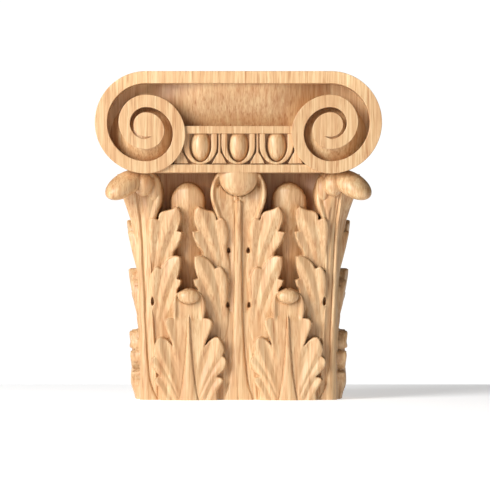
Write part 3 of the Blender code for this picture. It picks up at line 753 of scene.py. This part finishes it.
def body_boxes():
    """Body behind the carving: foot, core, and the block between the scrolls."""
    box("foot", *FOOT_BOX)
    box("core", *CORE_BOX)
    box("upper_block", (-SCROLL_X, PANEL, LEAF_TOP - 0.6), (SCROLL_X, BACK, HEIGHT), 0.2)


def band_and_scrolls():
    """Band and scrolls in one face, the two halves meeting in the middle."""
    outer = spiral(-SCROLL_X, HEIGHT, SCROLL_RADII)
    inner = spiral(-SCROLL_X, HEIGHT - BAND, GROOVE_RADII)
    tip = (-SCROLL_X + SPIRAL_TIP[0], inner[-1][1] + SPIRAL_TIP[1])
    half = [*outer, tip, *reversed(inner)]
    whole = half + [(-x, z) for x, z in reversed(half)]
    plate("band_and_scrolls", whole, FRONT, PLATE_BACK, 0.35)


def sunk_panel():
    """Panel that is shallow under the middle of the band, and deep over the frieze and beside the scrolls."""
    columns, rows = 120, 50
    top = HEIGHT - BAND
    x_line = np.linspace(-SCROLL_X, SCROLL_X, columns)
    across, up = (grid.ravel() for grid in np.meshgrid(x_line, np.linspace(PANEL_FOOT, top + 0.6, rows)))
    share = 1 - np.clip((top - up) / PANEL_SLOPE, 0, 1) ** 1.3
    y = PANEL - 0.2 - PANEL_DEEP * share * (1 - step(np.abs(across), 20, 60))
    # painted shade over the whole panel, darker beside the scrolls
    painted_shade = 0.42 + 0.4 * step(np.abs(across), 24, 56)
    mesh_piece("panel", np.stack([across, y, up], 1), grid_faces(columns, rows), painted_shade=painted_shade)


def scroll_parts(side, word):
    """Floor of a scroll's groove, which rises to the eye, and the bolster behind the scroll."""
    lathe(f"groove_floor_{word}", GROOVE_FLOOR, (side * SCROLL_X, GROOVE_EYE_Z), 60)
    drum = [(PANEL, 0), (PANEL, DRUM_R), (WAIST_FRONT - 0.6, DRUM_R), (WAIST_FRONT, DRUM_R - 0.6)]
    drum.append((WAIST_FRONT, NECK_R))
    waist = [(WAIST_FRONT + share * WAIST_LONG, NECK_R - WAIST_IN * math.sin(share * math.pi / 2))
             for share in np.linspace(0, 1, 14)[1:]]
    front_half = [*waist, *BELT[:-1]]
    drum += [*front_half, BELT[-1]]
    drum += [(2 * BELT_MIDDLE - y, r) for y, r in reversed(front_half)]
    drum += [(BACK - BACK_GAP, NECK_R), (BACK - BACK_GAP, 0)]
    lathe(f"bolster_{word}", drum, (side * SCROLL_X, DRUM_Z), 30)


def rim_line(x, half_wide, foot, tall):
    """Open line down one leg, round the foot and up the other leg."""
    turn = [(x + half_wide * math.cos(a), foot + tall + tall * math.sin(a))
            for a in np.linspace(math.pi, 2 * math.pi, RIM_STEPS)]
    return [(x - half_wide, STRIP_TOP), *turn, (x + half_wide, STRIP_TOP)]


def frieze():
    """Strip between the scrolls: ground, two fillets, three eggs in rims and four darts."""
    box("frieze_ground", (-FRIEZE_HALF, FRIEZE_FRONT, FRIEZE_Z[0]), (FRIEZE_HALF, PLATE_BACK, FRIEZE_Z[1]))
    for name, wide, foot, tall in FILLETS:
        box(name, (-wide, FILLET_FRONT, foot), (wide, PLATE_BACK, foot + tall), 0.3)
    for number in range(3):
        x = (number - 1) * PITCH
        ball(f"egg_{number}", (x, FRIEZE_FRONT + 0.5, EGG_Z), EGG_HALF)
        ring = rim_line(x, *RIM_OUTER) + rim_line(x, *RIM_INNER)[::-1]
        plate(f"rim_{number}", ring, RIM_FRONT, FRIEZE_FRONT + 1, 0.7)
    for number in range(4):
        x = (number - 1.5) * PITCH
        dart = [(x - half, z) for half, z in DART] + [(x + half, z) for half, z in reversed(DART)]
        plate(f"dart_{number}", dart, DART_FRONT, FRIEZE_FRONT + 1, 0.5)


def corner_head(side, word):
    """Rolled head of a corner leaf on the diagonal, with scallops on both sides of it."""
    outward = -135 if side < 0 else -45

    def place(out, across, z):
        """Place from the corner: out along the diagonal, across towards the front face."""
        return side * (BODY_HALF - 0.3 + out - across), BODY_FRONT - out - across, z

    ball(f"corner_roll_{word}", place(ROLL_OUT, 0, ROLL_Z), ROLL_HALF, outward, ROLL_DROOP)
    for number, (out, across, z, half) in enumerate(SCALLOPS):
        for way in (-1, 1):
            ball(f"corner_scallop_{word}_{number}_{way + 1}", place(out, way * across, z), half, outward)


def pale_floor():
    """Plain pale floor that ends a little behind the capital."""
    material = bpy.data.materials.new("floor")
    material.use_nodes = True
    shade = material.node_tree.nodes["Principled BSDF"]
    value(shade, "Base Color", (FLOOR_GREY, FLOOR_GREY, FLOOR_GREY, 1))
    value(shade, "Emission Color", (*WHITE, 1))
    value(shade, "Emission Strength", FLOOR_GLOW)
    value(shade, "Roughness", 0.9)
    sheet = bpy.data.meshes.new("floor")
    near, far = FLOOR_Y
    corners = [(-FLOOR_X, near, 0), (FLOOR_X, near, 0), (FLOOR_X, far, 0), (-FLOOR_X, far, 0)]
    sheet.from_pydata(corners, [], [(0, 1, 2, 3)])
    sheet.materials.append(material)
    item = bpy.data.objects.new("floor", sheet)
    bpy.context.scene.collection.objects.link(item)
    return item


def studio_world():
    """White sheet behind the capital; pale walls up to a little over the horizon, dim ceiling."""
    world = bpy.data.worlds.new("studio")
    world.use_nodes = True
    nodes, links = world.node_tree.nodes, world.node_tree.links
    sky = nodes["Background"]
    toward = nodes.new("ShaderNodeTexCoord")
    split = nodes.new("ShaderNodeSeparateXYZ")
    brighter = nodes.new("ShaderNodeMath")
    brighter.operation = "MAXIMUM"
    links.new(toward.outputs["Generated"], split.inputs[0])
    for number, (axis, start, end, before, after) in enumerate(FADES):
        fade = nodes.new("ShaderNodeMapRange")
        fade.interpolation_type = "SMOOTHSTEP"
        value(fade, "From Min", start)
        value(fade, "From Max", end)
        value(fade, "To Min", before)
        value(fade, "To Max", after)
        links.new(split.outputs[axis], fade.inputs["Value"])
        links.new(fade.outputs[0], brighter.inputs[number])
    links.new(brighter.outputs[0], sky.inputs["Strength"])
    value(sky, "Color", (*WHITE, 1))
    bpy.context.scene.world = world


def key_light():
    """Large soft disc from the upper left."""
    lamp = bpy.data.lights.new("key", "AREA")
    lamp.shape = "DISK"
    lamp.size = LIGHT_WIDE
    lamp.energy = LIGHT_WATTS
    item = bpy.data.objects.new("key", lamp)
    item.location = LIGHT_AT
    item.rotation_euler = (Vector(LIGHT_AIM) - Vector(LIGHT_AT)).to_track_quat("-Z", "Y").to_euler()
    bpy.context.scene.collection.objects.link(item)


def front_camera():
    """Long lens that looks straight at the front."""
    camera = bpy.data.cameras.new("camera")
    camera.sensor_width = SENSOR
    camera.lens = LENS
    item = bpy.data.objects.new("camera", camera)
    item.location = CAMERA_AT
    item.rotation_euler = (math.pi / 2, 0, 0)
    bpy.context.scene.collection.objects.link(item)
    bpy.context.scene.camera = item


wood = wood_material()
walls = list(carved_walls())
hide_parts("capital")
back_sheet()
body_boxes()
band_and_scrolls()
sunk_panel()
for side, word in SIDES:
    scroll_parts(side, word)
frieze()
for side, word in SIDES:
    corner_head(side, word)

floor = pale_floor()
studio_world()
key_light()
front_camera()
bpy.context.scene.view_settings.view_transform = "Standard"
bpy.context.scene.view_settings.look = "None"
